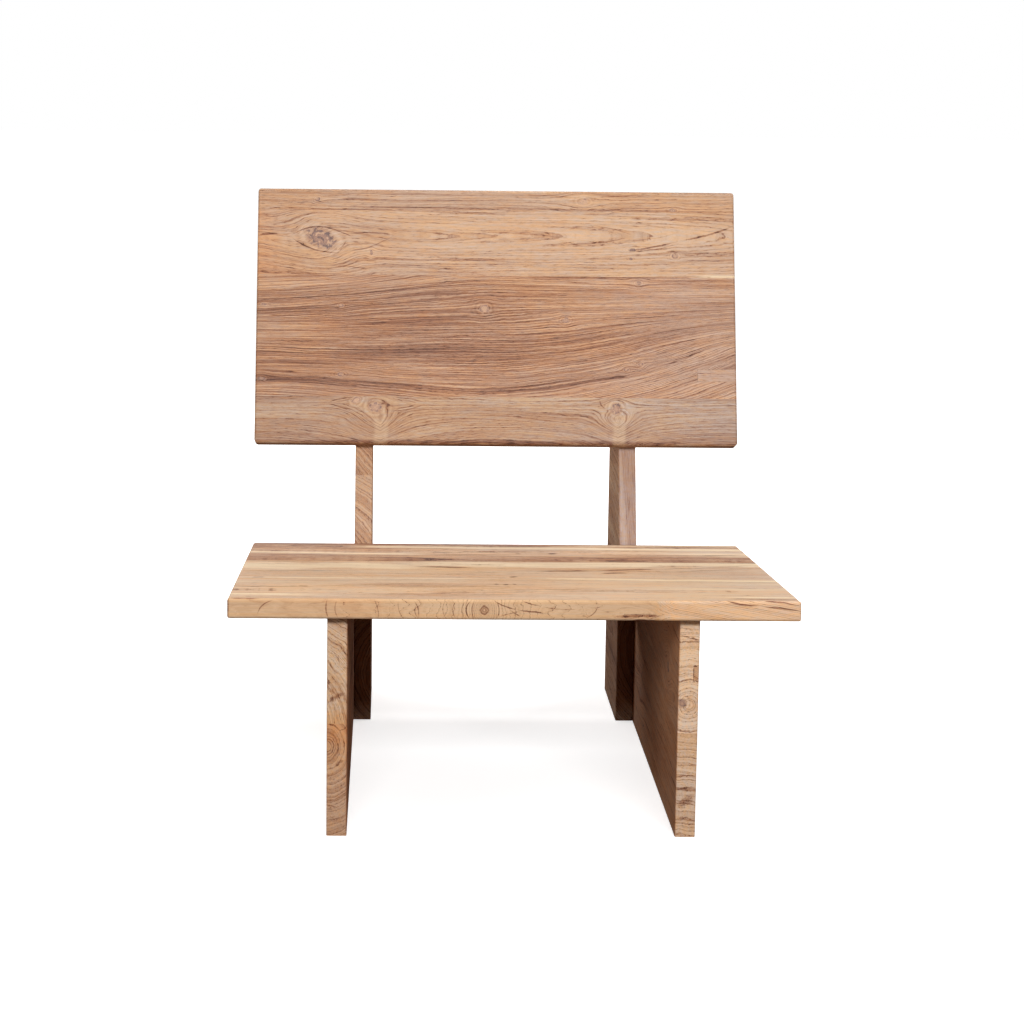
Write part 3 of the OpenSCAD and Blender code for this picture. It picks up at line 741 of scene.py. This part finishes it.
def upright(number, name, pith_v, pith_w, squeeze, drift, rise, pitch, tone, cast):
    start("teak_" + name)
    u, v, w = at = along_side()
    bent_v, knots = bent(u, v, UPRIGHT_KNOTS.get(name, ()))
    s = rings(u, (bent_v - pith_v) * squeeze, w, 0, pith_w, drift, rise, 4.0, number * 2.3)
    s = s + drawn(at, *PLANK_WAVES, number, 3.0) * 1.3
    front = step(u, SIDE_Y + 2, SIDE_Y + 8, 1, 0)
    marks, stains, lines, fine = None, [], 0.46, 0.36
    if name == "right_support_2":
        s, lines, fine, marks, near = lined_post(at, s)
        stains.append((near, (0.88, 0.96, 1.22)))
    if "side" in name:
        marks = drawn(at, *END_SPECKS) * front * 0.1 + drawn(at, *SIDE_CLOUDS) * 0.07
        # Painted shade on the sides' inner faces, which stand under the seat
        inner = step(size(w), INNER_X + INNER_FADE, INNER_X + INNER_END, 1, 0)
        stains.append((inner, INNER_SHADE_TINT))
    if name in UPRIGHT_DARK:
        rough = drawn(at, *LINE_ROUGH, 0.0, 3.0, 0.7) * 2
        marks = marks + dark_strokes(w, v + rough, UPRIGHT_DARK[name], 1.2) * front
    if name in UPRIGHT_ORANGE:
        clear, full, tint = UPRIGHT_ORANGE[name]
        stains.append((step(v, clear, full) * front, tint))
    if name == "right_side_upper":
        at_w, at_v, radius, dark = END_KNOT
        across, up = w - at_w, v - at_v
        core = root(up * up + across * across) * (1 / radius) + (1 - front) * 9
        knots = [*knots, (core, dark)]
    if name == "right_side_lower":
        marks = marks + step(v, 75, 20) * front * 0.1
    teak(90.0 + number * 4.3, at, s, pitch, lines, fine, broad=0.22, tone=tone, marks=marks, knots=knots,
         cast=cast, stains=stains)
    give(name)


def side_patch():
    start("teak_side_patch")
    _, v, w = at = along_side()
    teak(160.0, at, v + w * 0.6, 3.0, lines=0.2, fine=0.25, broad=0.1, tone=0.22)
    give("side_patch")


def hidden_wood(name, coordinates, seed, tone, *pieces):
    """Plain teak for the pieces that hold the chair together."""
    start(name)
    _, v, w = at = coordinates()
    teak(seed, at, v + w * 0.4, 4.0, lines=0.3, fine=0.3, broad=0.2, tone=tone)
    give(*pieces)


def beech():
    start("beech")
    _, v, _ = at = along_rail()
    teak(200.0, at, v, 2.0, lines=0.1, fine=0.1, broad=0.1, tone=0.02, cast=(1.1, 1.3, 1.5))
    give("rail_dowels")


def steel():
    start("steel")
    shader = tree.nodes["Principled BSDF"]
    shader.inputs["Base Color"].default_value = (0.6, 0.58, 0.54, 1)
    shader.inputs["Metallic"].default_value = 1
    shader.inputs["Roughness"].default_value = 0.4
    give("seat_cleat_screws", "back_cleat_screws", "support_screws")


top_strip()
arched_board()
lined_board()
bottom_board()
back_patch()
for board in SEAT:
    seat_board(*board)
for number, plank in enumerate(UPRIGHTS):
    upright(number, *plank)
side_patch()
hidden_wood("teak_frame", along_rail, 170.0, 0.4, "rear_rail")
hidden_wood("teak_cleat", along_side, 180.0, 0.36, "left_seat_cleat", "right_seat_cleat")
hidden_wood("teak_back_cleat", up_back, 190.0, 0.36, "left_back_cleat", "right_back_cleat")
beech()
steel()

# Floor, which the camera sees as white with a faint shadow, while it lights the chair as a dull one
FLOOR_REACH = 30.0
FLOOR_PALE, FLOOR_DULL = (0.85, 0.85, 0.85, 1), (0.13, 0.09, 0.065, 1)
WHITE = (1, 1, 1, 1)
# Own light of the floor near the chair, and the distances over which it grows to full white
GLOW_NEAR, GLOW_FROM, GLOW_TO = 0.66, 900, 2200


def add_floor():
    reach = FLOOR_REACH
    mesh = bpy.data.meshes.new("floor")
    corners = [(-reach, -reach, 0), (reach, -reach, 0), (reach, reach, 0), (-reach, reach, 0)]
    mesh.from_pydata(corners, [], [(0, 1, 2, 3)])
    floor = bpy.data.objects.new("floor", mesh)
    bpy.context.collection.objects.link(floor)
    start("floor")
    tree.nodes.clear()
    out = tree.nodes.new("ShaderNodeOutputMaterial")
    mix = tree.nodes.new("ShaderNodeMixShader")
    path = tree.nodes.new("ShaderNodeLightPath")
    seen = tree.nodes.new("ShaderNodeAddShader")
    glow = tree.nodes.new("ShaderNodeEmission")
    glow.inputs["Color"].default_value = WHITE
    pale = tree.nodes.new("ShaderNodeBsdfDiffuse")
    pale.inputs["Color"].default_value = FLOOR_PALE
    dull = tree.nodes.new("ShaderNodeBsdfDiffuse")
    dull.inputs["Color"].default_value = FLOOR_DULL
    x, y = place(ORIGIN, ALONG_X, ALONG_Y)
    put(step(root(x * x + y * y), GLOW_FROM, GLOW_TO, GLOW_NEAR, 1.0), glow.inputs["Strength"])
    tree.links.new(glow.outputs[0], seen.inputs[0])
    tree.links.new(pale.outputs[0], seen.inputs[1])
    tree.links.new(path.outputs["Is Camera Ray"], mix.inputs[0])
    tree.links.new(dull.outputs[0], mix.inputs[1])
    tree.links.new(seen.outputs[0], mix.inputs[2])
    tree.links.new(mix.outputs[0], out.inputs["Surface"])
    mesh.materials.append(material)


# World, which is white to the camera and lights the chair with this share of white
WORLD_LIGHT = 0.05


def add_world():
    global tree
    world = bpy.data.worlds.new("world")
    bpy.context.scene.world = world
    world.use_nodes = True
    tree = world.node_tree
    tree.nodes.clear()
    out = tree.nodes.new("ShaderNodeOutputWorld")
    path = tree.nodes.new("ShaderNodeLightPath")
    direct = high(Value(path.outputs["Is Camera Ray"]), Value(path.outputs["Is Transmission Ray"]))
    back = tree.nodes.new("ShaderNodeBackground")
    back.inputs["Color"].default_value = WHITE
    put(direct * (1.0 - WORLD_LIGHT) + WORLD_LIGHT, back.inputs["Strength"])
    tree.links.new(back.outputs[0], out.inputs["Surface"])


# Lights: name, place, what they face, width, height, watts
LIGHTS = (("key", (0.3, -3.6, 2.1), (0, 0, 0.35), 2.6, 0.7, 118),
          ("front_left", (-2.9, -2.1, 1.1), (0, 0, 0.35), 1.4, 1.6, 28),
          ("front_right", (3.3, -1.3, 1.6), (0, 0, 0.35), 1.4, 1.6, 16),
          ("left", (-2.8, 2.4, 1.6), (0, 0, 0.4), 1.6, 1.4, 42),
          ("right", (2.8, 2.4, 1.6), (0, 0, 0.4), 1.6, 1.4, 46),
          ("top", (0, 0.4, 3.4), (0, -0.1, 0.3), 1.6, 1.0, 46),
          ("rear", (-0.4, 3.4, 2.4), (0, 0, 0.5), 2.4, 1.6, 30))


def add_light(name, at, to, width, height, watts):
    data = bpy.data.lights.new(name, "AREA")
    data.shape, data.size, data.size_y = "RECTANGLE", width, height
    data.energy = watts
    light = bpy.data.objects.new(name, data)
    bpy.context.collection.objects.link(light)
    light.location = at
    light.rotation_mode = "QUATERNION"
    light.rotation_quaternion = (Vector(to) - Vector(at)).to_track_quat("-Z", "Y")
    light.visible_camera = False


add_camera()
add_floor()
add_world()
for lamp in LIGHTS:
    add_light(*lamp)
bpy.context.scene.view_settings.view_transform = "Standard"
